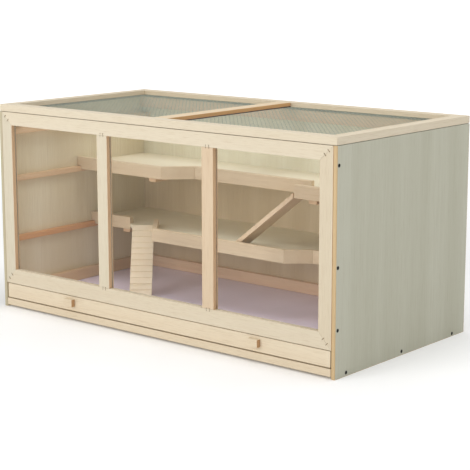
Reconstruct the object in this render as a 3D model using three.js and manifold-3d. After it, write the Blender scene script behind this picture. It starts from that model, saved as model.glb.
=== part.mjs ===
// A hamster cage: a wooden cabinet with a three-bay window front, two shelves joined by ramps,
// a pull-out floor tray and a netted roof that opens on two hinges.
// Millimetres. X runs from left to right, Y from front to back and Z up.
// Everything is laid out from the cabinet's front left bottom corner, and the whole is then
// shifted so that the origin is under the middle of its bounding box.
import * as THREE from "three";
import { mergeVertices } from "three/addons/utils/BufferGeometryUtils.js";
import Module from "manifold-3d";

// Cabinet
const WIDTH = 1150;
const DEPTH = 575;
const WALL_TOP = 550.2;
const SIDE_THICK = 11;
const SIDE_EDGE_ROUND = 2.5;
const EDGE_SEGMENTS = 4; // facets of one eased edge
const BACK_THICK = 10;
const BATTEN = 15; // the stock that every inner batten is cut from
const JOINT_GAP = 0.3; // fine joint line at every mitre
const FIT_GAP = 1; // slack of the front pieces between the side panels

// Window front
const WINDOW_BOTTOM = 69.6;
const WINDOW_TOP = 550;
const WINDOW_THICK = 17;
const STILE_WIDE = 38;
const WINDOW_TOP_RAIL = 35.5;
const WINDOW_BOTTOM_RAIL = 40.4;
const MULLION_WIDE = 37;
const MULLION_X = [397.5, 760];
const PANE_THICK = 3;
const PANE_Y = 13; // middle of the panes, behind the window's front face
const PANE_LAP = 5; // how far a pane reaches into the grooves round it
const PANE_SLACK = 0.4; // room round a pane in its groove

// Roof
const LID_X = [5, WIDTH];
const LID_BOTTOM = 551.5;
const LID_TOP = 570.2;
const LID_RAIL_WIDE = 34;
const LID_REBATE_WIDE = 6;
const LID_REBATE_TALL = 6.7;
const NETTING_THICK = 1.4;
const CENTRE_BAR_X = WIDTH / 2;
const CENTRE_BAR_WIDE = 44;
const CENTRE_BAR_THICK = 11.6;

// Floor and pull-out tray
const RAIL_BOTTOM = 5.5;
const FRONT_RAIL_TOP = 24.5;
const BASE_BATTEN_Y = [46, 281, 517];
const BASE_BATTEN_WIDE = 30;
const BASE_BATTEN_BOTTOM = 4;
const BASE_PANEL_Z = [19, 24];
const TRAY_BOTTOM = 26;
const TRAY_TOP = 30;
const TRAY_SIDE_GAP = 3;
const DRAWER_FRONT_Z = [27.5, 67.5];
const DRAWER_FRONT_X = [16, 1136];
const DRAWER_FRONT_THICK = 16;
const DRAWER_RECESS = 1;
const GUIDE_Z = [30.6, 63];
const KNOB_X = [267, 910];
const KNOB_WIDE = 32;
const KNOB_TALL = 20;
const KNOB_PROUD = 12;
const KNOB_Z = 50.5;

// Shelves: each board lies on wall battens, with an upright lip along its front edge.
const LIP_THICK = 13;
const LIP_BELOW = 17.5; // how far a lip reaches below the top of its board
const LIP_ABOVE = 18;
const BOARD_THICK = 9;
const UPPER_TOP = 377;
const LOWER_TOP = 207;
const UPPER_FRONT_Y = 282;
const UPPER_BAY_Y = 348; // front edge where the upper shelf is set back
const UPPER_WING_Y = 272; // front edge of the upper shelf's right wing
const UPPER_CHAMFER_X = [345, 411];
const UPPER_WING_X = 817;
const LOWER_LEFT_Y = 335;
const LOWER_FRONT_Y = 249;
const LOWER_RIGHT_Y = 296;
const LOWER_CHAMFER_X = [804, 862];
const STIFFENER_WIDE = 26;
const STIFFENER_TALL = 21;
const STIFFENER_SETBACK = 2; // behind the lip
const UPPER_STIFFENER_X = [297, 867];
const LOWER_STIFFENER_X = 141;

// Ramps
const RAMP_THICK = 11;
const RAMP_GROOVE_PITCH = 20;
const RAMP_GROOVE_WIDE = 3.5;
const RAMP_GROOVE_DEEP = 1.8;
const RAMP_CLEARANCE = 0.6;
const LOWER_RAMP_WIDE = 62;
const LOWER_RAMP_TURN = THREE.MathUtils.degToRad(-50); // heading of the lower ramp in plan
const LOWER_RAMP_SLOPE = THREE.MathUtils.degToRad(45);
const NOTCH_WIDE = 66;
const NOTCH_CORNER = [243, 362]; // back right corner of the notch that holds the lower ramp
const NOTCH_LIP_X = 171; // where the left lip stops, short of the notch
const UPPER_RAMP_WIDE = 64;
const UPPER_RAMP_Y = 269;
const UPPER_RAMP_STEP = 4; // its top edge is this far below the shelf
const UPPER_RAMP_SLOPE = THREE.MathUtils.degToRad(38);

// Wall battens
const TOP_BATTEN_Z = [519, 550];
const LEDGE_WIDE = 31;
const LEDGE_Z = [487, 502];

// Hinges
const HINGE_X = [210, 940]; // middle of each hinge
const HINGE_LONG = 60;
const HINGE_KNUCKLES = 5;
const HINGE_SIDES = 20; // facets round a knuckle
const HINGE_OUTER = 3.2;
const HINGE_PIN = 1.4;
const HINGE_PLAY = 0.2;
const HINGE_GAP = 0.3; // between the knuckles and the wood
const HINGE_ROOM = 0.8; // round the other leaf's knuckles
const LEAF_THICK = 1.2;
const LEAF_DOWN = 30;
const LEAF_UP = 16.5;

const wasm = await Module();
wasm.setup();

const backFace = DEPTH - BACK_THICK;
const hingeAxisY = DEPTH + HINGE_OUTER + HINGE_GAP;
const hingeAxisZ = (WALL_TOP + LID_BOTTOM) / 2;
const backmost = hingeAxisY + HINGE_OUTER;
const centreY = (backmost - KNOB_PROUD + DRAWER_RECESS) / 2;

const material = (color, roughness, metalness = 0, opacity = 1) =>
  new THREE.MeshStandardMaterial({
    color, roughness, metalness, opacity, transparent: opacity < 1,
  });

const colours = {
  frame: () => material(0xdccfb2, 0.6),
  panel: () => material(0xb3ad98, 0.7),
  batten: () => material(0xcaa98a, 0.7),
  shelf: () => material(0xd3c5ad, 0.65),
  ramp: () => material(0xdecdaf, 0.65),
  tray: () => material(0xcfcbd4, 0.5),
  acrylic: () => material(0xf2f7f7, 0.05, 0, 0.3),
  netting: () => material(0x8c9089, 0.5, 0.7),
  steel: () => material(0xb9bbb6, 0.35, 0.9),
};

const cage = new THREE.Group();
cage.position.set(-WIDTH / 2, -centreY, 0);

function add(name, geometry, colour) {
  const mesh = new THREE.Mesh(geometry, colours[colour]());
  mesh.name = name;
  cage.add(mesh);
  return mesh;
}

// A box between two values along each axis.
function box([x0, x1], [y0, y1], [z0, z1]) {
  const geometry = new THREE.BoxGeometry(x1 - x0, y1 - y0, z1 - z0);
  return geometry.translate((x0 + x1) / 2, (y0 + y1) / 2, (z0 + z1) / 2);
}

const outline = (points) => new THREE.Shape(points.map(([x, y]) => new THREE.Vector2(x, y)));

// A flat outline in plan, raised from z0 to z1.
function slab(points, [z0, z1]) {
  const geometry = new THREE.ExtrudeGeometry(outline(points), { depth: z1 - z0, bevelEnabled: false });
  return geometry.translate(0, 0, z0);
}

// A bar along +Z from 0 to long, with its section in X and Y. Each end is mitred: it falls back
// from the full length by its mitre times the section's X.
function bar(section, long, startMitre, endMitre) {
  const geometry = new THREE.ExtrudeGeometry(outline(section), { depth: long, bevelEnabled: false });
  const at = geometry.getAttribute("position");
  for (let i = 0; i < at.count; i++) {
    const start = at.getZ(i) < long / 2;
    const shift = at.getX(i) * (start ? startMitre : -endMitre);
    at.setZ(i, at.getZ(i) + shift);
  }
  return geometry;
}

// Four mitred bars round a flat frame with the outer limits a in X and b in Y. section(wide) gives
// a bar's section, from the frame's outer edge inwards and from its underside up.
function mitredFrame([a0, a1], [b0, b1], { left, bottom, right, top }, section) {
  const gap = JOINT_GAP / 2;
  const place = (geometry, quarterTurns, a, b) => {
    // Unturned, a bar runs along -Y with its outer edge on the left.
    geometry.rotateX(Math.PI / 2).rotateZ(quarterTurns * Math.PI / 2);
    return geometry.translate(a, b, 0);
  };
  const side = (wide, long, before, after) => bar(section(wide), long - 2 * gap, before / wide, after / wide);
  return {
    left: place(side(left, b1 - b0, top, bottom), 0, a0, b1 - gap),
    bottom: place(side(bottom, a1 - a0, left, right), 1, a0 + gap, b0),
    right: place(side(right, b1 - b0, bottom, top), 2, a1, b0 + gap),
    top: place(side(top, a1 - a0, right, left), 3, a1 - gap, b1),
  };
}

// A closed geometry as a solid, to cut or join, and back.
function solid(geometry) {
  const bare = geometry.clone();
  bare.deleteAttribute("normal");
  bare.deleteAttribute("uv");
  const merged = mergeVertices(bare, 1e-4);
  return new wasm.Manifold(
    new wasm.Mesh({
      numProp: 3,
      vertProperties: merged.getAttribute("position").array,
      triVerts: new Uint32Array(merged.index.array),
    }),
  );
}

function geometryOf(shape) {
  const mesh = shape.getMesh();
  const geometry = new THREE.BufferGeometry();
  geometry.setAttribute("position", new THREE.BufferAttribute(mesh.vertProperties, 3));
  geometry.setIndex(new THREE.BufferAttribute(mesh.triVerts, 1));
  const flat = geometry.toNonIndexed();
  flat.computeVertexNormals();
  return flat;
}

const inner = [SIDE_THICK, WIDTH - SIDE_THICK];

// Side panels reach the floor and stand on it. Their front edges are eased.
function sidePanels() {
  const r = SIDE_EDGE_ROUND;
  const shape = new THREE.Shape();
  shape.moveTo(0, DEPTH);
  shape.lineTo(0, r);
  shape.absarc(r, r, r, Math.PI, 1.5 * Math.PI);
  shape.absarc(SIDE_THICK - r, r, r, 1.5 * Math.PI, 2 * Math.PI);
  shape.lineTo(SIDE_THICK, DEPTH);
  const settings = { depth: WALL_TOP, bevelEnabled: false, curveSegments: EDGE_SEGMENTS };
  const panel = new THREE.ExtrudeGeometry(shape, settings);
  add("side_panel_left", panel, "panel");
  add("side_panel_right", panel.clone().translate(WIDTH - SIDE_THICK, 0, 0), "panel");
}

function backAndBase() {
  add("back_panel", box(inner, [backFace, DEPTH], [RAIL_BOTTOM, WALL_TOP]), "panel");
  add("base_panel", box(inner, [WINDOW_THICK, backFace], BASE_PANEL_Z), "panel");
  const fascia = [inner[0] + FIT_GAP, inner[1] - FIT_GAP];
  const railY = [0, WINDOW_THICK - JOINT_GAP];
  add("base_front_rail", box(fascia, railY, [RAIL_BOTTOM, FRONT_RAIL_TOP]), "frame");
  ["front", "middle", "back"].forEach((place, i) => {
    const y = BASE_BATTEN_Y[i];
    const across = [y - BASE_BATTEN_WIDE / 2, y + BASE_BATTEN_WIDE / 2];
    add(`base_batten_${place}`, box(inner, across, [BASE_BATTEN_BOTTOM, BASE_PANEL_Z[0]]), "batten");
  });
}

// The window: a mitred frame and two upright mullions, with a groove for the panes in each.
function windowFront() {
  const paneY = [PANE_Y - PANE_THICK / 2, PANE_Y + PANE_THICK / 2];
  const groove = [paneY[0] - PANE_SLACK, paneY[1] + PANE_SLACK];
  const depth = PANE_LAP + PANE_SLACK;
  // A bar's section, from the frame's outer edge inwards and from its front face back.
  const fromFront = (wide) => [
    [0, 0], [wide, 0], [wide, groove[0]], [wide - depth, groove[0]], [wide - depth, groove[1]],
    [wide, groove[1]], [wide, WINDOW_THICK], [0, WINDOW_THICK],
  ];
  const section = (wide) => fromFront(wide).map(([x, y]) => [x, WINDOW_THICK - y]);
  const wides = { left: STILE_WIDE, bottom: WINDOW_BOTTOM_RAIL, right: STILE_WIDE, top: WINDOW_TOP_RAIL };
  const across = [inner[0] + FIT_GAP, inner[1]];
  const frame = mitredFrame(across, [WINDOW_BOTTOM, WINDOW_TOP], wides, section);
  // The frame is laid out flat, with its front face down, and stood up.
  for (const part of Object.values(frame)) part.rotateX(Math.PI / 2).translate(0, WINDOW_THICK, 0);
  add("window_rail_top", frame.top, "frame");
  add("window_rail_bottom", frame.bottom, "frame");
  add("window_stile_left", frame.left, "frame");
  add("window_stile_right", frame.right, "frame");

  const low = WINDOW_BOTTOM + WINDOW_BOTTOM_RAIL;
  const high = WINDOW_TOP - WINDOW_TOP_RAIL;
  const half = MULLION_WIDE / 2;
  const mullion = [
    [-half, 0], [half, 0], [half, groove[0]], [half - depth, groove[0]], [half - depth, groove[1]],
    [half, groove[1]], [half, WINDOW_THICK], [-half, WINDOW_THICK], [-half, groove[1]],
    [depth - half, groove[1]], [depth - half, groove[0]], [-half, groove[0]],
  ];
  const sides = ["left", "right"];
  MULLION_X.forEach((x, i) => {
    const upright = slab(mullion, [low + JOINT_GAP, high - JOINT_GAP]);
    add(`window_mullion_${sides[i]}`, upright.translate(x, 0, 0), "frame");
  });
  const edges = [across[0] + STILE_WIDE, MULLION_X[0] - half, MULLION_X[0] + half,
    MULLION_X[1] - half, MULLION_X[1] + half, across[1] - STILE_WIDE];
  ["left", "centre", "right"].forEach((place, i) => {
    const x = [edges[2 * i] - PANE_LAP, edges[2 * i + 1] + PANE_LAP];
    add(`window_pane_${place}`, box(x, paneY, [low - PANE_LAP, high + PANE_LAP]), "acrylic");
  });
}

// The roof: a mitred frame with a rebate under its inner edge, in which the netting lies, and a
// flat bar over the netting from front to back.
function roof() {
  const thick = LID_TOP - LID_BOTTOM;
  const section = (wide) => [
    [0, 0], [wide - LID_REBATE_WIDE, 0], [wide - LID_REBATE_WIDE, LID_REBATE_TALL],
    [wide, LID_REBATE_TALL], [wide, thick], [0, thick],
  ];
  const wide = LID_RAIL_WIDE;
  const wides = { left: wide, bottom: wide, right: wide, top: wide };
  const frame = mitredFrame(LID_X, [0, DEPTH], wides, section);
  const names = { bottom: "front", right: "right", top: "back", left: "left" };
  for (const [side, part] of Object.entries(frame)) {
    add(`lid_rail_${names[side]}`, part.translate(0, 0, LID_BOTTOM), "frame");
  }
  const reach = LID_RAIL_WIDE - LID_REBATE_WIDE + JOINT_GAP;
  const netTop = LID_BOTTOM + LID_REBATE_TALL;
  const netX = [LID_X[0] + reach, LID_X[1] - reach];
  add("lid_netting", box(netX, [reach, DEPTH - reach], [netTop - NETTING_THICK, netTop]), "netting");
  const barX = [CENTRE_BAR_X - CENTRE_BAR_WIDE / 2, CENTRE_BAR_X + CENTRE_BAR_WIDE / 2];
  const inside = LID_RAIL_WIDE + JOINT_GAP;
  add("lid_centre_bar", box(barX, [inside, DEPTH - inside], [LID_TOP - CENTRE_BAR_THICK, LID_TOP]), "frame");
}

// Battens screwed to the walls: near the roof, under both shelves and over the tray's edges. The
// highest one on each side lies flat, as a ledge.
function wallBattens() {
  const left = (wide) => [inner[0], inner[0] + wide];
  const right = (wide) => [inner[1] - wide, inner[1]];
  const behindWindow = WINDOW_THICK + FIT_GAP;
  const alongSide = [behindWindow, backFace - BATTEN - JOINT_GAP];
  add("top_batten_back", box(inner, [backFace - BATTEN, backFace], TOP_BATTEN_Z), "batten");
  add("guide_batten_back", box(inner, [backFace - BATTEN, backFace], GUIDE_Z), "batten");
  for (const [side, x] of [["left", left], ["right", right]]) {
    add(`ledge_batten_${side}`, box(x(LEDGE_WIDE), [behindWindow, backFace], LEDGE_Z), "batten");
    add(`guide_batten_${side}`, box(x(BATTEN), alongSide, GUIDE_Z), "batten");
    for (const [level, top] of [["upper", UPPER_TOP], ["lower", LOWER_TOP]]) {
      const z = [top - BOARD_THICK - BATTEN, top - BOARD_THICK];
      add(`shelf_batten_${level}_${side}`, box(x(BATTEN), [behindWindow, backFace], z), "batten");
    }
  }
}

// The points of a path moved to its left by `offset`, with each corner on its mitre.
function offsetPath(path, offset) {
  return path.map((point, i) => {
    const normal = (a, b) => {
      const [dx, dy] = [b[0] - a[0], b[1] - a[1]];
      const long = Math.hypot(dx, dy);
      return [-dy / long, dx / long];
    };
    const before = i > 0 ? normal(path[i - 1], point) : normal(point, path[i + 1]);
    const after = i < path.length - 1 ? normal(point, path[i + 1]) : before;
    const scale = offset / (1 + before[0] * after[0] + before[1] * after[1]);
    return [point[0] + (before[0] + after[0]) * scale, point[1] + (before[1] + after[1]) * scale];
  });
}

// One lip for each stretch of a shelf's front edge. The path runs from left to right along the
// lips' front faces, with the shelf on its left. A lip that meets a side wall is notched over the
// wall batten that it crosses.
function lips(path, names, top) {
  const behind = offsetPath(path, LIP_THICK);
  const z = [top - LIP_BELOW, top + LIP_ABOVE];
  const battenTop = top - BOARD_THICK + JOINT_GAP;
  const reach = BATTEN + JOINT_GAP;
  const battens = [[inner[0] - 1, inner[0] + reach], [inner[1] - reach, inner[1] + 1]].map(
    (x) => solid(box(x, [0, DEPTH], [z[0] - 1, battenTop])),
  );
  names.forEach((name, i) => {
    const along = [path[i + 1][0] - path[i][0], path[i + 1][1] - path[i][1]];
    const cut = JOINT_GAP / 2 / Math.hypot(...along);
    const [dx, dy] = [along[0] * cut, along[1] * cut];
    const corners = [
      [path[i][0] + dx, path[i][1] + dy], [path[i + 1][0] - dx, path[i + 1][1] - dy],
      [behind[i + 1][0] - dx, behind[i + 1][1] - dy], [behind[i][0] + dx, behind[i][1] + dy],
    ];
    const atWall = corners.some(([x]) => x < inner[0] + reach || x > inner[1] - reach);
    const lip = slab(corners, z);
    const notched = () => battens.reduce((left, batten) => left.subtract(batten), solid(lip));
    add(name, atWall ? geometryOf(notched()) : lip, "shelf");
  });
}

// A board behind its lips, resting on the wall battens.
function shelfBoard(name, edge, top) {
  const [x0, x1] = inner;
  add(name, slab([...edge, [x1, backFace], [x0, backFace]], [top - BOARD_THICK, top]), "shelf");
}

// The lower ramp stands in a notch of the lower shelf, square to the ramp's heading.
const notch = (() => {
  const along = [Math.cos(LOWER_RAMP_TURN), Math.sin(LOWER_RAMP_TURN)];
  const across = [-along[1], along[0]];
  const right = NOTCH_CORNER;
  const left = [right[0] - across[0] * NOTCH_WIDE, right[1] - across[1] * NOTCH_WIDE];
  const reach = (LOWER_FRONT_Y - right[1]) / along[1];
  const mouth = [right[0] + along[0] * reach, LOWER_FRONT_Y];
  return { along, left, right, mouth };
})();

function shelves() {
  const [x0, x1] = inner;
  const gap = LIP_THICK + JOINT_GAP;

  const upper = [
    [x0, UPPER_FRONT_Y], [UPPER_CHAMFER_X[0], UPPER_FRONT_Y], [UPPER_CHAMFER_X[1], UPPER_BAY_Y],
    [UPPER_WING_X, UPPER_BAY_Y],
  ];
  const wing = [[UPPER_WING_X, UPPER_WING_Y], [x1, UPPER_WING_Y]];
  lips(upper, ["upper_lip_left", "upper_lip_chamfer", "upper_lip_middle"], UPPER_TOP);
  lips(wing, ["upper_lip_right"], UPPER_TOP);
  shelfBoard("upper_shelf_board", [...offsetPath(upper, gap), ...offsetPath(wing, gap)], UPPER_TOP);

  const spur = [[x0, LOWER_LEFT_Y], [NOTCH_LIP_X, LOWER_LEFT_Y]];
  const lower = [
    notch.right, notch.mouth, [LOWER_CHAMFER_X[0], LOWER_FRONT_Y],
    [LOWER_CHAMFER_X[1], LOWER_RIGHT_Y], [x1, LOWER_RIGHT_Y],
  ];
  lips(spur, ["lower_lip_left"], LOWER_TOP);
  const lowerNames = ["lower_lip_ramp_side", "lower_lip_front", "lower_lip_chamfer", "lower_lip_right"];
  lips(lower, lowerNames, LOWER_TOP);
  const edge = [...offsetPath(spur, gap), spur[1], notch.left, ...offsetPath(lower, gap)];
  shelfBoard("lower_shelf_board", edge, LOWER_TOP);
}

// Battens across the underside of a shelf, from the back of its lip to the back panel.
function shelfStiffeners() {
  const across = (name, x, front, top) => {
    const underside = top - BOARD_THICK;
    const wide = [x - STIFFENER_WIDE / 2, x + STIFFENER_WIDE / 2];
    const long = [front + LIP_THICK + STIFFENER_SETBACK, backFace];
    add(name, box(wide, long, [underside - STIFFENER_TALL, underside]), "batten");
  };
  across("upper_stiffener_left", UPPER_STIFFENER_X[0], UPPER_FRONT_Y, UPPER_TOP);
  across("upper_stiffener_right", UPPER_STIFFENER_X[1], UPPER_WING_Y, UPPER_TOP);
  across("lower_stiffener", LOWER_STIFFENER_X, LOWER_LEFT_Y, LOWER_TOP);
}

// A ramp with cross grooves. Its side is drawn from the top edge down the slope, cut upright
// where it meets its shelf and level where it stands, then swept to its width.
function ramp(wide, drop, slope) {
  const run = drop / Math.tan(slope);
  const upright = RAMP_THICK / Math.cos(slope);
  const long = drop / Math.sin(slope);
  const onSlope = (s, deep) => [
    s * Math.cos(slope) - deep * Math.sin(slope), -s * Math.sin(slope) - deep * Math.cos(slope),
  ];
  const side = [[0, 0]];
  for (let s = RAMP_GROOVE_PITCH; s < long - RAMP_GROOVE_PITCH / 2; s += RAMP_GROOVE_PITCH) {
    const half = RAMP_GROOVE_WIDE / 2;
    side.push(onSlope(s - half, 0), onSlope(s - half, RAMP_GROOVE_DEEP));
    side.push(onSlope(s + half, RAMP_GROOVE_DEEP), onSlope(s + half, 0));
  }
  side.push([run, -drop], [run - upright / Math.tan(slope), -drop], [0, -upright]);
  const geometry = new THREE.ExtrudeGeometry(outline(side.reverse()), { depth: wide, bevelEnabled: false });
  return geometry.rotateX(Math.PI / 2).translate(0, wide / 2, 0);
}

function ramps() {
  const [nx, ny] = [(notch.left[0] + notch.right[0]) / 2, (notch.left[1] + notch.right[1]) / 2];
  const lowerDrop = LOWER_TOP - TRAY_TOP - RAMP_CLEARANCE;
  const lower = add("lower_ramp", ramp(LOWER_RAMP_WIDE, lowerDrop, LOWER_RAMP_SLOPE), "ramp");
  lower.rotation.z = LOWER_RAMP_TURN;
  lower.position.set(nx + notch.along[0] * RAMP_CLEARANCE, ny + notch.along[1] * RAMP_CLEARANCE, LOWER_TOP);
  const upperEdge = UPPER_TOP - UPPER_RAMP_STEP;
  const upperDrop = upperEdge - LOWER_TOP - RAMP_CLEARANCE;
  const upper = add("upper_ramp", ramp(UPPER_RAMP_WIDE, upperDrop, UPPER_RAMP_SLOPE), "ramp");
  upper.rotation.z = Math.PI;
  upper.position.set(UPPER_WING_X - RAMP_CLEARANCE, UPPER_RAMP_Y + UPPER_RAMP_WIDE / 2, upperEdge);
}

// The tray slides out under the guide battens, with a front board and two knobs.
function tray() {
  const front = [DRAWER_RECESS, DRAWER_RECESS + DRAWER_FRONT_THICK];
  add("tray_front", box(DRAWER_FRONT_X, front, DRAWER_FRONT_Z), "frame");
  const x = [inner[0] + TRAY_SIDE_GAP, inner[1] - TRAY_SIDE_GAP];
  add("tray_floor", box(x, [front[1], backFace - FIT_GAP], [TRAY_BOTTOM, TRAY_TOP]), "tray");
  ["left", "right"].forEach((side, i) => {
    const across = [KNOB_X[i] - KNOB_WIDE / 2, KNOB_X[i] + KNOB_WIDE / 2];
    const high = [KNOB_Z - KNOB_TALL / 2, KNOB_Z + KNOB_TALL / 2];
    add(`tray_knob_${side}`, box(across, [DRAWER_RECESS - KNOB_PROUD, DRAWER_RECESS], high), "frame");
  });
}

// A butt hinge whose leaves lie on the outside of the back panel and of the roof's back rail.
// Odd knuckles belong to the lower leaf and even ones to the upper leaf.
function hinge(side, x) {
  const pitch = HINGE_LONG / HINGE_KNUCKLES;
  const start = x - HINGE_LONG / 2;
  const tube = (radius, from, to) => {
    const cylinder = new THREE.CylinderGeometry(radius, radius, to - from, HINGE_SIDES);
    return cylinder.rotateZ(Math.PI / 2).translate((from + to) / 2, hingeAxisY, hingeAxisZ);
  };
  const bore = solid(tube(HINGE_PIN + HINGE_PLAY, start - 1, start + HINGE_LONG + 1));
  const plateY = [DEPTH, DEPTH + LEAF_THICK];
  const leaf = (owned, z) => {
    let shape = solid(box([start, start + HINGE_LONG], plateY, z));
    for (let i = 0; i < HINGE_KNUCKLES; i++) {
      const from = start + i * pitch;
      if (owned(i)) {
        shape = shape.add(solid(tube(HINGE_OUTER, from + HINGE_PLAY, from + pitch - HINGE_PLAY)));
      } else {
        const room = HINGE_OUTER + HINGE_ROOM;
        const across = [from - HINGE_PLAY, from + pitch + HINGE_PLAY];
        const high = [hingeAxisZ - room, hingeAxisZ + room];
        shape = shape.subtract(solid(box(across, [0, backmost + 1], high)));
      }
    }
    return geometryOf(shape.subtract(bore));
  };
  add(`hinge_${side}_lower_leaf`, leaf((i) => i % 2 === 0, [hingeAxisZ - LEAF_DOWN, hingeAxisZ]), "steel");
  add(`hinge_${side}_upper_leaf`, leaf((i) => i % 2 === 1, [hingeAxisZ, hingeAxisZ + LEAF_UP]), "steel");
  add(`hinge_${side}_pin`, tube(HINGE_PIN, start, start + HINGE_LONG), "steel");
}

sidePanels();
backAndBase();
windowFront();
roof();
wallBattens();
shelves();
shelfStiffeners();
ramps();
tray();
hinge("left", HINGE_X[0]);
hinge("right", HINGE_X[1]);

export default cage;
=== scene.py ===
"""Looks of the hamster cage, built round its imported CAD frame.

Metres. X runs to the right, Y to the back, Z up. The origin is on the floor under the middle of
the cage's bounding box.
"""

import math
from fnmatch import fnmatch

import bmesh
import bpy
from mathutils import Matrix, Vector


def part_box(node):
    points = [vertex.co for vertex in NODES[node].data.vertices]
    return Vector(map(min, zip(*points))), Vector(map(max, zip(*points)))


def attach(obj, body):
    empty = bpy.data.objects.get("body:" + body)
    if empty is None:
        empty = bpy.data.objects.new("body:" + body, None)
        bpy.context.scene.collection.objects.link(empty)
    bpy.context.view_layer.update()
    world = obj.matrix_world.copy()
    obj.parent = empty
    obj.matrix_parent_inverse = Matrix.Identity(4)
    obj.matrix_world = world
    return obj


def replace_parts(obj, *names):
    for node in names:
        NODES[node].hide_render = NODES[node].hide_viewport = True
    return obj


MM = 0.001

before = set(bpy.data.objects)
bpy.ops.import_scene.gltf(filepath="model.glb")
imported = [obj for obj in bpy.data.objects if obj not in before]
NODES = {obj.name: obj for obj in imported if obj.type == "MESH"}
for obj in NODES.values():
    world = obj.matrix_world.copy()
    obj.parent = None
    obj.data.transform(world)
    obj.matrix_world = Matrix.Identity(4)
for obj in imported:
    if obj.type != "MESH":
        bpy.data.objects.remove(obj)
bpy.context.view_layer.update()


def low(name):
    """The corner of a CAD node's box with the smallest coordinates."""
    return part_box(name)[0]


def high(name):
    """The corner of a CAD node's box with the largest coordinates."""
    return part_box(name)[1]


# ---------------------------------------------------------------- shader helpers


def new_material(name):
    material = bpy.data.materials.new(name)
    material.use_nodes = True
    tree = material.node_tree
    return material, tree, tree.nodes["Principled BSDF"]


def linear(rgb):
    """An sRGB colour of 0 to 255 a channel as linear RGBA."""
    out = []
    for value in rgb:
        c = value / 255
        out.append(c / 12.92 if c <= 0.04045 else ((c + 0.055) / 1.055) ** 2.4)
    return (*out, 1.0)


def grey(value):
    return (value, value, value, 1.0)


def node(tree, kind, **settings):
    """A new shader node. Each setting is an input's value or a property of the node."""
    made = tree.nodes.new(kind)
    for key, value in settings.items():
        if key in made.inputs:
            made.inputs[key].default_value = value
        else:
            setattr(made, key, value)
    return made


def object_place(tree):
    return node(tree, "ShaderNodeTexCoord").outputs["Object"]


def noise(tree, vector, scale, detail=2.0, roughness=0.5, distortion=0.0):
    made = node(tree, "ShaderNodeTexNoise", Scale=scale, Detail=detail, Roughness=roughness,
                Distortion=distortion)
    tree.links.new(vector, made.inputs["Vector"])
    return made.outputs["Fac"]


def ramp(tree, source, stops):
    """A colour ramp over stops of (position, colour)."""
    made = node(tree, "ShaderNodeValToRGB")
    elements = made.color_ramp.elements
    while len(elements) > 1:
        elements.remove(elements[-1])
    elements[0].position, elements[0].color = stops[0]
    for position, colour in stops[1:]:
        elements.new(position).color = colour
    tree.links.new(source, made.inputs["Fac"])
    return made.outputs["Color"]


def mix(tree, kind, factor, a, b):
    """Blends colour b over a. Each value may be a socket."""
    made = node(tree, "ShaderNodeMix", data_type="RGBA", blend_type=kind)
    for value, index in ((factor, 0), (a, 6), (b, 7)):
        if isinstance(value, bpy.types.NodeSocket):
            tree.links.new(value, made.inputs[index])
        else:
            made.inputs[index].default_value = value
    return made.outputs[2]


def calculate(tree, operation, a, b):
    """A sum, product or comparison of a socket with a number or another socket."""
    made = node(tree, "ShaderNodeMath", operation=operation)
    tree.links.new(a, made.inputs[0])
    if isinstance(b, bpy.types.NodeSocket):
        tree.links.new(b, made.inputs[1])
    else:
        made.inputs[1].default_value = b
    return made.outputs[0]


def spread(tree, source, least, most):
    """Maps a factor of 0 to 1 onto least to most."""
    made = node(tree, "ShaderNodeMapRange")
    made.inputs["To Min"].default_value = least
    made.inputs["To Max"].default_value = most
    tree.links.new(source, made.inputs["Value"])
    return made.outputs["Result"]


def raise_surface(tree, shader, height, strength, distance):
    """Bumps a surface by a height."""
    bump = node(tree, "ShaderNodeBump", Strength=strength, Distance=distance)
    tree.links.new(height, bump.inputs["Height"])
    tree.links.new(bump.outputs["Normal"], shader.inputs["Normal"])


def zoned(tree, place, tone, zones, part):
    """A colour that changes where a coordinate passes an edge.

    Each zone is (axis, edge, side, tone), and holds beyond the edge on the side 1 or -1. A tone is
    a pair of colours, a base and a darker one, and part says which of the two is wanted.
    """
    made = linear(tone[part])
    for axis, edge, side, zone_tone in zones:
        split = node(tree, "ShaderNodeSeparateXYZ")
        tree.links.new(place, split.inputs[0])
        kind = "GREATER_THAN" if side > 0 else "LESS_THAN"
        beyond = calculate(tree, kind, split.outputs["XYZ".index(axis)], edge)
        made = mix(tree, "MIX", beyond, made, linear(zone_tone[part]))
    return made


# ---------------------------------------------------------------- wood

BASE, DARK = 0, 1
BOARD_STRETCH = 0.035  # how much slower a pattern changes along the grain than across it
SHEET_STRETCH = 0.025
TONE_SCALE = 9.0
BEND_SCALE = 14.0
LINE_SCALE = 95.0
PORE_SCALE = 620.0
PORE_COLOUR = (196, 176, 146)
KNOT_COLOUR = (150, 106, 66)
KNOT_CELLS = 5.0  # knots' cells to the metre across the grain
KNOT_CELLS_ALONG = 3.2
KNOT_PROFILE = [(0.0, 1.0), (0.022, 0.85), (0.05, 0.18), (0.085, 0.0)]


def knotted(tree, place, axis, colour, share, seed):
    """Puts a knot, a dark spot with a soft rim, in a share of the cells of a coarse lattice."""
    scale = [KNOT_CELLS] * 3
    scale[axis] = KNOT_CELLS_ALONG
    mapping = node(tree, "ShaderNodeMapping", Scale=scale, Location=[seed * 1.7 + 0.3] * 3)
    tree.links.new(place, mapping.inputs["Vector"])
    cells = node(tree, "ShaderNodeTexVoronoi", Scale=1.0, feature="F1")
    tree.links.new(mapping.outputs["Vector"], cells.inputs["Vector"])
    spot = ramp(tree, cells.outputs["Distance"], [(at, grey(value)) for at, value in KNOT_PROFILE])
    chosen = ramp(tree, cells.outputs["Color"],
                  [(1.0 - share, grey(0.0)), (1.0 - share + 0.02, grey(1.0))])
    return mix(tree, "MIX", calculate(tree, "MULTIPLY", spot, chosen), colour, linear(KNOT_COLOUR))


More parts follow.
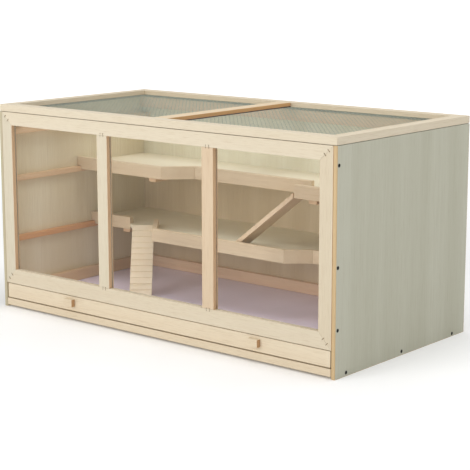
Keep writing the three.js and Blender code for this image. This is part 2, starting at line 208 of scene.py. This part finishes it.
def wood(name, tone, along, *, streak=0.3, pores=0.3, rough=0.55, rings=1.0, seed=0.0,
         knots=0.0, blotch=0.35, sheet=False, zones=()):
    """Planed or veneered wood whose grain runs along X, Y or Z.

    It shows slow changes of tone, long growth lines that wander a little, fine pores along the
    grain and, where knots is above 0, a few small knots.
    """
    material, tree, shader = new_material(name)
    place = object_place(tree)
    axis = "XYZ".index(along)
    stretch = [1.0, 1.0, 1.0]
    stretch[axis] = SHEET_STRETCH if sheet else BOARD_STRETCH

    def mapped(offset=(0, 0, 0)):
        mapping = node(tree, "ShaderNodeMapping", Scale=stretch, Location=[o + seed for o in offset])
        tree.links.new(place, mapping.inputs["Vector"])
        return mapping.outputs["Vector"]

    base_colour = zoned(tree, place, tone, zones, BASE)
    dark_colour = zoned(tree, place, tone, zones, DARK)

    slow = noise(tree, mapped(), TONE_SCALE, 2.0, 0.55)
    shade = ramp(tree, slow, [(0.38, grey(0.0)), (0.66, grey(blotch))])
    body = mix(tree, "MIX", shade, base_colour, dark_colour)

    # Growth lines come and go with a slower noise.
    bend = noise(tree, mapped((3.1, 1.7, 0.4)), BEND_SCALE, 2.0, 0.55)
    lines = noise(tree, mapped((0.7, 5.2, 2.3)), LINE_SCALE * rings, 3.0, 0.6, 0.25)
    line_tone = ramp(tree, lines, [(0.35, grey(0.0)), (0.62, grey(1.0))])
    strength = calculate(tree, "MULTIPLY", calculate(tree, "MULTIPLY", bend, line_tone), streak)
    grained = mix(tree, "MIX", strength, body, dark_colour)

    fine = noise(tree, mapped((9.0, 2.0, 4.0)), PORE_SCALE, 2.0, 0.7)
    pore = ramp(tree, fine, [(0.52, grey(0.0)), (0.72, grey(1.0))])
    pore_strength = calculate(tree, "MULTIPLY", pore, pores)
    colour = mix(tree, "MULTIPLY", pore_strength, grained, linear(PORE_COLOUR))
    if knots > 0:
        colour = knotted(tree, place, axis, colour, knots, seed)

    tree.links.new(colour, shader.inputs["Base Color"])
    tree.links.new(spread(tree, fine, rough - 0.06, rough + 0.10), shader.inputs["Roughness"])
    shader.inputs["Specular IOR Level"].default_value = 0.32
    raise_surface(tree, shader, calculate(tree, "ADD", lines, fine), 0.16, 0.0004)
    return material


# ---------------------------------------------------------------- other materials

SPANGLE_SCALE = 900.0
CLOUD_SCALE = 6.0
COAT_GRAIN_SCALE = 420.0
HAZE_SCALE = 7.0


def speckle(tree, shader, colour, shade, cloud):
    """Varies a surface's colour with a noise, from shade times the colour up to the colour."""
    shaded = linear([c * shade for c in colour])
    tint = ramp(tree, cloud, [(0.35, shaded), (0.65, linear(colour))])
    tree.links.new(tint, shader.inputs["Base Color"])


def metal(name, colour, rough, metallic=1.0):
    """Plated or blackened steel with a fine spangle."""
    material, tree, shader = new_material(name)
    spangle = noise(tree, object_place(tree), SPANGLE_SCALE)
    speckle(tree, shader, colour, 0.86, spangle)
    tree.links.new(spread(tree, spangle, rough - 0.08, rough + 0.12), shader.inputs["Roughness"])
    shader.inputs["Metallic"].default_value = metallic
    raise_surface(tree, shader, spangle, 0.12, 0.0002)
    return material


def coated_board(name, colour):
    """Coated board with a faint texture and slow changes of tone."""
    material, tree, shader = new_material(name)
    place = object_place(tree)
    speckle(tree, shader, colour, 0.965, noise(tree, place, CLOUD_SCALE, 3.0))
    grain = noise(tree, place, COAT_GRAIN_SCALE)
    tree.links.new(spread(tree, grain, 0.34, 0.5), shader.inputs["Roughness"])
    raise_surface(tree, shader, grain, 0.08, 0.0002)
    return material


def acrylic(name, colour):
    """Clear sheet: nearly all light passes straight through, with a faint haze."""
    material, tree, shader = new_material(name)
    haze = noise(tree, object_place(tree), HAZE_SCALE, 3.0)
    tree.links.new(spread(tree, haze, 0.04, 0.12), shader.inputs["Roughness"])
    tree.links.new(spread(tree, haze, 0.012, 0.035), shader.inputs["Alpha"])
    shader.inputs["Base Color"].default_value = linear(colour)
    shader.inputs["Specular IOR Level"].default_value = 0.5
    return material


# ---------------------------------------------------------------- tones, each (base, dark)

PINE = ((218, 207, 185), (202, 184, 154))
DRAWER_PINE = ((225, 211, 186), (206, 184, 152))
STILE_LEFT = ((211, 202, 181), (195, 183, 158))
STILE_RIGHT = ((215, 203, 180), (198, 181, 151))
MULLION_LEFT = ((214, 204, 182), (198, 183, 154))
MULLION_RIGHT = ((213, 192, 164), (198, 168, 132))
# Painted shade: a darker, rosier tone for the window uprights' left and right faces, which lie in
# shade.
UPRIGHT_SIDE_SHADE = ((216, 184, 148), (196, 156, 116))
BAR_TOP = ((226, 208, 178), (206, 178, 140))
BAR_SIDE_SHADE = ((218, 176, 126), (190, 142, 94))
# The raw ply inside the side panels: partly the ply's own colour, partly painted light, made paler for
# the dimmer inside of the cage.
INNER_PLY_AND_PAINTED_LIGHT = ((234, 224, 196), (216, 200, 164))
STAIN = ((191, 190, 173), (174, 172, 152))
SIDE_CORES = {
    "left": ((198, 190, 164), (170, 156, 124)),
    "right": ((204, 178, 136), (160, 122, 78)),
}
BACK_INNER = ((240, 238, 218), (226, 220, 192))
# Painted shade: the back wall's darker, warmer tone below the upper shelf.
BACK_SHADE_UNDER_SHELF = ((228, 210, 178), (208, 186, 148))
BASE_PLY = ((212, 192, 158), (176, 152, 118))
LONG_BATTEN = ((246, 214, 182), (218, 176, 138))
CROSS_BATTEN = ((230, 200, 162), (198, 154, 112))
BATTEN_SHADE_UNDER_SHELF = ((224, 172, 122), (190, 130, 84))
LIP = ((222, 203, 172), (198, 168, 132))
SHELF = ((240, 233, 210), (220, 208, 176))
LOWER_RAMP = ((246, 233, 208), (222, 198, 162))
UPPER_RAMP = ((232, 208, 176), (196, 160, 122))
KNOB = ((226, 212, 187), (204, 182, 150))
# Painted shade: the darker brown for the knobs' right sides.
KNOB_SIDE_SHADE = ((196, 158, 118), (170, 130, 92))

PLY_SKIN = 0.8 * MM
FRONT_EDGE_DEPTH = 2.1 * MM
UPRIGHT_SIDE_SKIN = 0.4 * MM
BAR_SKIN = 0.6 * MM
KNOB_SKIN = 0.6 * MM


def side_face_zones(name, skin, tone):
    """Zones for the left and right faces of a CAD node."""
    return [("X", low(name).x + skin, -1, tone), ("X", high(name).x - skin, 1, tone)]


def side_ply(side, outward):
    """A side panel: stained outside, raw inside, with its core on the cut edges that show.
    The inside's pale tone is partly the raw ply's own colour and partly painted light.
    """
    name = f"side_panel_{side}"
    near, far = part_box(name)
    inside = (near if outward > 0 else far).x
    core = SIDE_CORES[side]
    zones = [
        ("X", inside + outward * PLY_SKIN, -outward, INNER_PLY_AND_PAINTED_LIGHT),
        ("Y", far.y - PLY_SKIN, 1, core),
        ("Z", near.z + PLY_SKIN, -1, core),
        ("Y", near.y + FRONT_EDGE_DEPTH, -1, core),
    ]
    return wood(f"side_ply_{side}", STAIN, "Z", seed=5.2 + outward, streak=0.5, pores=0.2,
                rings=2.2, rough=0.6, sheet=True, blotch=0.6, zones=zones)


def back_ply():
    """The back panel: stained outside, raw inside, and with painted shade, a warmer darker tone, below
    the upper shelf.
    """
    zones = [("Z", low("upper_shelf_board").z, -1, BACK_SHADE_UNDER_SHELF),
             ("Y", high("back_panel").y - PLY_SKIN, 1, STAIN)]
    return wood("back_ply", BACK_INNER, "Z", seed=6.1, streak=0.45, pores=0.2, rings=1.6,
                rough=0.62, sheet=True, blotch=0.6, zones=zones)


def upright_wood(name, tone, streak, seed):
    """A window upright: planed on its front, with painted shade, a darker rosier tone, on its left and
    right faces.
    """
    return wood(name + "_wood", tone, "Z", seed=seed, streak=streak,
                zones=side_face_zones(name, UPRIGHT_SIDE_SKIN, UPRIGHT_SIDE_SHADE))


def knob_wood(name):
    """A knob's pale wood, with painted shade, a darker brown, on its right side."""
    zones = [("X", high(name).x - KNOB_SKIN, 1, KNOB_SIDE_SHADE)]
    return wood(name + "_wood", KNOB, "X", seed=15.6, zones=zones)


frame_x = wood("frame_wood_x", PINE, "X", seed=1.0, knots=0.05)
frame_y = wood("frame_wood_y", PINE, "Y", seed=2.3, knots=0.04)
drawer_wood = wood("drawer_wood", DRAWER_PINE, "X", seed=1.6, knots=0.05)
# The centre bar's top is pale; its left and right faces get a darker orange brown that is painted
# shade.
bar_wood = wood("centre_bar_wood", BAR_TOP, "Y", seed=4.4, streak=0.4,
                zones=side_face_zones("lid_centre_bar", BAR_SKIN, BAR_SIDE_SHADE))
base_ply = wood("base_ply", BASE_PLY, "X", seed=6.9, sheet=True)
batten_x = wood("batten_wood_x", LONG_BATTEN, "X", seed=8.4, streak=0.5, knots=0.16)
batten_y = wood("batten_wood_y", CROSS_BATTEN, "Y", seed=9.2, streak=0.5, knots=0.1)
# Painted shade: the lower left shelf batten gets a redder, darker tone for the shade under the lower
# shelf.
shaded_shelf_batten = wood("batten_wood_painted_shade", BATTEN_SHADE_UNDER_SHELF, "Y", seed=10.4, streak=0.5)
lip_wood = wood("lip_wood", LIP, "X", seed=11.5, knots=0.06)
shelf_ply = wood("shelf_ply", SHELF, "X", seed=12.2, sheet=True, rough=0.6)
lower_ramp_wood = wood("lower_ramp_wood", LOWER_RAMP, "Z", seed=13.3, knots=0.08)
upper_ramp_wood = wood("upper_ramp_wood", UPPER_RAMP, "X", seed=14.1)
tray_coat = coated_board("tray_coat", (246, 235, 254))
clear = acrylic("clear_acrylic", (240, 236, 226))
zinc = metal("zinc_plate", (196, 198, 195), 0.34)
wire = metal("galvanised_wire", (176, 186, 174), 0.5, metallic=0.4)
# Painted shade: the hem strands' dark colour stands in for the shadow in the lid's rebate and under
# the bar.
hem_wire_painted_shade = metal("hem_wire_painted_shade", (96, 88, 92), 0.6, metallic=0.3)
dark_steel = metal("dark_screw", (9, 8, 7), 0.75, metallic=0.1)
staple_steel = metal("staple_wire", (150, 126, 94), 0.5)


# ---------------------------------------------------------------- CAD nodes

# Each row is a pattern of node names, the material, and how far the edges are eased in mm. The
# first row that fits a node holds.
FINISHES = [
    ("hinge*", zinc, 0.2),
    ("window_pane*", clear, 0.3),
    ("window_rail_*", frame_x, 0.3),
    ("window_stile_left", upright_wood("window_stile_left", STILE_LEFT, 0.3, 3.1), 0.3),
    ("window_stile_right", upright_wood("window_stile_right", STILE_RIGHT, 0.3, 3.7), 0.3),
    ("window_mullion_left", upright_wood("window_mullion_left", MULLION_LEFT, 0.3, 20.3), 0.3),
    ("window_mullion_right", upright_wood("window_mullion_right", MULLION_RIGHT, 0.6, 20.6), 0.3),
    ("lid_rail_front", frame_x, 0.4),
    ("lid_rail_back", frame_x, 0.4),
    ("lid_rail_*", frame_y, 0.4),
    ("lid_centre_bar", bar_wood, 1.0),
    ("tray_front", drawer_wood, 1.0),
    ("base_front_rail", drawer_wood, 1.0),
    ("side_panel_left", side_ply("left", -1), 0.3),
    ("side_panel_right", side_ply("right", 1), 0.3),
    ("back_panel", back_ply(), 0.3),
    ("base_panel", base_ply, 0.0),
    ("shelf_batten_lower_left", shaded_shelf_batten, 1.0),
    ("top_batten_back", batten_x, 1.0),
    ("guide_batten_back", batten_x, 1.0),
    ("*batten*", batten_y, 1.0),
    ("*stiffener*", batten_y, 1.0),
    ("*lip*", lip_wood, 1.0),
    ("*shelf_board", shelf_ply, 0.6),
    ("lower_ramp", lower_ramp_wood, 0.5),
    ("upper_ramp", upper_ramp_wood, 0.5),
    ("tray_floor", tray_coat, 0.5),
    ("tray_knob_left", knob_wood("tray_knob_left"), 0.8),
    ("tray_knob_right", knob_wood("tray_knob_right"), 0.8),
]
WELD_GAP = 0.02 * MM
SHARP = math.radians(32)


def dress(name, material):
    """Gives a CAD node its material."""
    data = NODES[name].data
    data.materials.clear()
    data.materials.append(material)


def ease(name, width):
    """Eases a CAD node's sharp edges without touching its mesh."""
    weld = NODES[name].modifiers.new("weld", "WELD")
    weld.merge_threshold = WELD_GAP
    bevel = NODES[name].modifiers.new("ease", "BEVEL")
    bevel.width = width
    bevel.segments = 2
    bevel.limit_method = "ANGLE"
    bevel.angle_limit = SHARP
    bevel.harden_normals = False


for name in NODES:
    for pattern, material, width in FINISHES:
        if fnmatch(name, pattern):
            dress(name, material)
            if width:
                ease(name, width * MM)
            break


# ---------------------------------------------------------------- pieces


def finish_mesh(name, bm, material, body, smooth=False):
    """Turns a bmesh into a piece of the object that rides on a body."""
    bmesh.ops.recalc_face_normals(bm, faces=bm.faces)
    mesh = bpy.data.meshes.new(name)
    bm.to_mesh(mesh)
    bm.free()
    for polygon in mesh.polygons:
        polygon.use_smooth = smooth
    mesh.materials.append(material)
    made = bpy.data.objects.new(name, mesh)
    bpy.context.scene.collection.objects.link(made)
    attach(made, body)
    return made


def tube(bm, points, radius, sides):
    """A closed round tube along points."""
    rings = []
    up = Vector((0, 0, 1))
    for i, point in enumerate(points):
        before = points[max(i - 1, 0)]
        after = points[min(i + 1, len(points) - 1)]
        heading = (after - before).normalized()
        side = heading.cross(up)
        side = side.normalized() if side.length > 1e-4 else Vector((1, 0, 0))
        over = side.cross(heading).normalized()
        rings.append([
            bm.verts.new(point + radius * (math.cos(a) * side + math.sin(a) * over))
            for a in (2 * math.pi * k / sides for k in range(sides))
        ])
    for a, b in zip(rings, rings[1:]):
        for k in range(sides):
            n = (k + 1) % sides
            bm.faces.new((a[k], a[n], b[n], b[k]))
    bm.faces.new(rings[0][::-1])
    bm.faces.new(rings[-1])


# Wire netting and its folded hem, whose dark colour is painted shade

WIRE_RADIUS = 0.34 * MM
WIRE_SIDES = 4
CELL_WIDE = 13 * MM
CELL_LONG = 15 * MM
TWIST_SHARE = 0.36  # the share of half a cell over which two wires are twisted together
TWIST_LIFT = 0.9 * WIRE_RADIUS
NET_MARGIN = 2 * MM
NET_LOW, NET_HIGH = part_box("lid_netting")


def clamp(value, least, most):
    return min(max(value, least), most)


def netting():
    """Hexagonal wire netting. Each wire zigzags from left to right and is twisted with its
    neighbour wherever the two meet, so that every cell is a hexagon."""
    x0, x1 = NET_LOW.x + NET_MARGIN, NET_HIGH.x - NET_MARGIN
    y0, y1 = NET_LOW.y + NET_MARGIN, NET_HIGH.y - NET_MARGIN
    z = (NET_LOW.z + NET_HIGH.z) / 2
    rows = round((y1 - y0) / (CELL_LONG / 2))
    pitch = (y1 - y0) / rows
    columns = round((x1 - x0) / (CELL_WIDE / 2))
    step = (x1 - x0) / columns
    half = step * TWIST_SHARE / 2
    bm = bmesh.new()
    for row in range(rows + 1):
        points = []
        for column in range(columns + 1):
            toward = 1 if (row + column) % 2 else -1
            x = x0 + column * step
            y = clamp(y0 + row * pitch + toward * (pitch / 2 - WIRE_RADIUS), y0, y1)
            lift = toward * TWIST_LIFT
            before = Vector((max(x - half, x0), y, z + lift))
            after = Vector((min(x + half, x1), y, z - lift))
            points += [before, after]
        tube(bm, points, WIRE_RADIUS, WIRE_SIDES)
    return finish_mesh("wire_netting", bm, wire, "lid", smooth=True)


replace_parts(netting(), "lid_netting")

HEM_WIRES = 4
HEM_PITCH = 1.4 * MM
HEM_SETBACK = 1.2 * MM
HEM_RADIUS = 0.6 * MM
HEM_SIDES = 5
HEM_STEPS = 60
HEM_SWAY = 0.25 * MM


def hem_strand(start, end, z, phase):
    """Points along one strand, which sways a little up and down."""
    points = []
    for j in range(HEM_STEPS + 1):
        share = j / HEM_STEPS
        x = start[0] + (end[0] - start[0]) * share
        y = start[1] + (end[1] - start[1]) * share
        points.append(Vector((x, y, z + HEM_SWAY * math.sin(j * 1.7 + phase))))
    return points


def netting_hem_painted_shade():
    """The netting's folded edge: strands stacked up the inside of the rebate all the way round,
    and two along each side of the bar across the roof. Their dark colour is painted shade, standing
    in for the shadow in the rebate under the rails and under the bar's sides."""
    bm = bmesh.new()
    x0, x1 = NET_LOW.x + HEM_SETBACK, NET_HIGH.x - HEM_SETBACK
    y0, y1 = NET_LOW.y + HEM_SETBACK, NET_HIGH.y - HEM_SETBACK
    corners = [(x0, y0), (x1, y0), (x1, y1), (x0, y1)]
    for start, end in zip(corners, corners[1:] + corners[:1]):
        for k in range(HEM_WIRES):
            strand = hem_strand(start, end, NET_LOW.z - k * HEM_PITCH, k * 2.1)
            tube(bm, strand, HEM_RADIUS, HEM_SIDES)
    bar_low, bar_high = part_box("lid_centre_bar")
    for x in (bar_low.x - HEM_RADIUS, bar_high.x + HEM_RADIUS):
        for z in (bar_low.z, bar_low.z + 2 * HEM_RADIUS):
            tube(bm, [Vector((x, y, z)) for y in (y0, (y0 + y1) / 2, y1)], HEM_RADIUS, HEM_SIDES)
    return finish_mesh("netting_hem_painted_shade", bm, hem_wire_painted_shade, "lid", smooth=True)


netting_hem_painted_shade()


# Screws in the side panels

HEAD_RADIUS = 4.6 * MM
HEAD_SIDES = 24
HEAD_PROFILE = [(0.55, 0.15), (0.9, 0.08), (1.0, 0.0), (1.0, -0.25)]  # radius, rise, in radii
RECESS_RISE = 0.03
RECESS_REACH = 0.8
RECESS_EDGE = 0.96  # the cosine within which a point lies in an arm of the cross
UNDERSIDE = -0.5


def screw_heads(name, places, axis, body, radius, material):
    """Low screw heads with a cross recess, one mesh for a row of them."""
    bm = bmesh.new()
    turn = Vector((0, 0, 1)).rotation_difference(Vector(axis)).to_matrix()

    def vertex(place, x, y, z):
        return bm.verts.new(Vector(place) + turn @ Vector((x * radius, y * radius, z * radius)))

    for place in places:
        rings = []
        for reach, rise in HEAD_PROFILE:
            ring = []
            for k in range(HEAD_SIDES):
                angle = 2 * math.pi * k / HEAD_SIDES
                across, up = math.cos(angle), math.sin(angle)
                in_cross = max(abs(across), abs(up)) > RECESS_EDGE and reach < RECESS_REACH
                z = RECESS_RISE if in_cross else rise
                ring.append(vertex(place, reach * across, reach * up, z))
            rings.append(ring)
        middle = vertex(place, 0, 0, RECESS_RISE)
        under = vertex(place, 0, 0, UNDERSIDE)
        for k in range(HEAD_SIDES):
            n = (k + 1) % HEAD_SIDES
            bm.faces.new((middle, rings[0][k], rings[0][n]))
            for a, b in zip(rings, rings[1:]):
                bm.faces.new((a[k], b[k], b[n], a[n]))
            bm.faces.new((rings[-1][k], under, rings[-1][n]))
    return finish_mesh(name, bm, material, body)


# How far each side screw is behind the front edge and above the floor, in mm
SIDE_SCREWS = [(8, 505), (8, 267), (10, 118), (46, 9), (281, 10), (517, 7)]
FACE_GAP = 0.1 * MM
front_y = low("side_panel_left").y
for side, x, outward in (("left", low("side_panel_left").x, -1),
                         ("right", high("side_panel_right").x, 1)):
    places = [(x + outward * FACE_GAP, front_y + y * MM, z * MM) for y, z in SIDE_SCREWS]
    screw_heads(f"side_screws_{side}", places, (outward, 0, 0), "cage", HEAD_RADIUS, dark_steel)


# Staples

STAPLE_HALF = 4.2 * MM
STAPLE_LEG = 2 * MM
STAPLE_RADIUS = 0.8 * MM
STAPLE_SIDES = 6
MITRE_SHARES = (0.38, 0.66)
MULLION_STAPLE_APART = 5 * MM
MULLION_STAPLE_REACH = 2 * MM
MULLION_STAPLE_LEAN = 2


def staples(name, marks, face_y):
    """Wire staples driven flush into a front face. marks holds (x, z, turn in degrees)."""
    bm = bmesh.new()
    for x, z, turn in marks:
        a = math.radians(turn)
        half = Vector((math.cos(a), 0, math.sin(a))) * STAPLE_HALF
        middle = Vector((x, face_y, z))
        leg = Vector((0, STAPLE_LEG, 0))
        path = [middle - half + leg, middle - half, middle + half, middle + half + leg]
        tube(bm, path, STAPLE_RADIUS, STAPLE_SIDES)
    return finish_mesh(name, bm, staple_steel, "cage", smooth=True)


def mitre_marks():
    """Two staples across each mitred corner of the window's frame."""
    stile_left, stile_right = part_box("window_stile_left"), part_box("window_stile_right")
    rail_top, rail_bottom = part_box("window_rail_top"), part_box("window_rail_bottom")
    marks = []
    for inner_x, outer_x in ((stile_left[1].x, stile_left[0].x), (stile_right[0].x, stile_right[1].x)):
        for inner_z, outer_z in ((rail_top[0].z, rail_top[1].z), (rail_bottom[1].z, rail_bottom[0].z)):
            dx, dz = outer_x - inner_x, outer_z - inner_z
            across = math.degrees(math.atan2(-dx, dz))
            marks += [(inner_x + dx * share, inner_z + dz * share, across) for share in MITRE_SHARES]
    return marks


def mullion_marks():
    """A pair of staples across each end of both mullions."""
    marks = []
    for side in ("left", "right"):
        near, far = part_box(f"window_mullion_{side}")
        middle = (near.x + far.x) / 2
        for z in (near.z - MULLION_STAPLE_REACH, far.z + MULLION_STAPLE_REACH):
            marks += [(middle + hand * MULLION_STAPLE_APART, z, 90 + hand * MULLION_STAPLE_LEAN)
                      for hand in (-1, 1)]
    return marks


window_face = low("window_rail_top").y - FACE_GAP
staples("corner_staples", mitre_marks(), window_face)
staples("mullion_staples", mullion_marks(), window_face)


# Hinge screws

HINGE_HEAD_RADIUS = 2.6 * MM
HINGE_SCREW_SHARES = (0.14, 0.5, 0.86)
HINGE_LEAF_THICK = 1.2 * MM
LOWER_LEAF_SCREW_RISE = 9 * MM
UPPER_LEAF_SCREW_DROP = 5.5 * MM
for side in ("left", "right"):
    lower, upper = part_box(f"hinge_{side}_lower_leaf"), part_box(f"hinge_{side}_upper_leaf")
    plate_y = high("back_panel").y + HINGE_LEAF_THICK
    xs = [lower[0].x + (lower[1].x - lower[0].x) * share for share in HINGE_SCREW_SHARES]
    for leaf, body, z in (("lower", "cage", lower[0].z + LOWER_LEAF_SCREW_RISE),
                          ("upper", "lid", upper[1].z - UPPER_LEAF_SCREW_DROP)):
        screw_heads(f"hinge_{side}_{leaf}_screws", [(x, plate_y, z) for x in xs], (0, 1, 0), body,
                    HINGE_HEAD_RADIUS, zinc)


# ---------------------------------------------------------------- floor, lights, camera

FLOOR_SIZE = 400.0
FLOOR_NEAR, FLOOR_FAR = 0.9, 5.0  # where the floor's own light starts and stops to rise
FLOOR_GLOW = (0.06, 0.62)
LIT_POINT = Vector((0, 0, 0.3))


def paper():
    """Matt white paper that is lit more and more with its distance, so that it stays white up to
    the horizon."""
    material, tree, shader = new_material("paper")
    place = object_place(tree)
    tint = ramp(tree, noise(tree, place, 2.0), [(0.3, grey(0.89)), (0.7, grey(0.91))])
    tree.links.new(tint, shader.inputs["Base Color"])
    shader.inputs["Roughness"].default_value = 0.95
    shader.inputs["Specular IOR Level"].default_value = 0.1
    distance = node(tree, "ShaderNodeVectorMath", operation="LENGTH")
    tree.links.new(place, distance.inputs[0])
    glow = node(tree, "ShaderNodeMapRange", interpolation_type="SMOOTHSTEP")
    glow.inputs["From Min"].default_value = FLOOR_NEAR
    glow.inputs["From Max"].default_value = FLOOR_FAR
    glow.inputs["To Min"].default_value = FLOOR_GLOW[0]
    glow.inputs["To Max"].default_value = FLOOR_GLOW[1]
    tree.links.new(distance.outputs["Value"], glow.inputs["Value"])
    tree.links.new(glow.outputs["Result"], shader.inputs["Emission Strength"])
    shader.inputs["Emission Color"].default_value = grey(1.0)
    return material


def lay_floor():
    bm = bmesh.new()
    bmesh.ops.create_grid(bm, x_segments=1, y_segments=1, size=FLOOR_SIZE / 2)
    mesh = bpy.data.meshes.new("floor")
    bm.to_mesh(mesh)
    bm.free()
    mesh.materials.append(paper())
    floor = bpy.data.objects.new("floor", mesh)
    bpy.context.scene.collection.objects.link(floor)


def area_light(name, place, size, power, colour=(1, 1, 1)):
    """A square light that faces the middle of the cage."""
    data = bpy.data.lights.new(name, "AREA")
    data.shape = "RECTANGLE"
    data.size = size
    data.size_y = size
    data.energy = power
    data.color = colour
    made = bpy.data.objects.new(name, data)
    made.location = place
    made.rotation_mode = "QUATERNION"
    made.rotation_quaternion = (LIT_POINT - Vector(place)).to_track_quat("-Z", "Y")
    bpy.context.scene.collection.objects.link(made)


def light_world(strength):
    """A white backdrop that looks white itself, while the light that it gives is softer."""
    world = bpy.data.worlds.new("studio")
    world.use_nodes = True
    tree = world.node_tree
    background = tree.nodes["Background"]
    background.inputs["Color"].default_value = grey(1.0)
    seen = node(tree, "ShaderNodeLightPath").outputs["Is Camera Ray"]
    tree.links.new(spread(tree, seen, strength, 1.0), background.inputs["Strength"])
    bpy.context.scene.world = world


lay_floor()
area_light("key", (-1.2, -4.8, 2.2), 3.0, 98, (1.0, 0.985, 0.96))
area_light("top", (0.8, 0.2, 4.3), 3.6, 100)
light_world(0.56)

FRONT_LEFT = Vector((-0.575, front_y, 0.0))  # the cabinet's front left bottom corner
CAMERA_FROM_CORNER = Vector((3.056, -2.637, 0.981))
LOOK_DOWN = 11.07  # degrees
TURN_LEFT = 39.62  # degrees
camera_data = bpy.data.cameras.new("camera")
camera = bpy.data.objects.new("camera", camera_data)
bpy.context.scene.collection.objects.link(camera)
camera_data.sensor_width = 36.0
camera_data.lens = 110.9
camera_data.shift_x = -0.0168
camera_data.clip_end = 100
camera.location = FRONT_LEFT + CAMERA_FROM_CORNER
camera.rotation_euler = (math.radians(90 - LOOK_DOWN), 0, math.radians(TURN_LEFT))
bpy.context.scene.camera = camera
bpy.context.scene.view_settings.view_transform = "Standard"
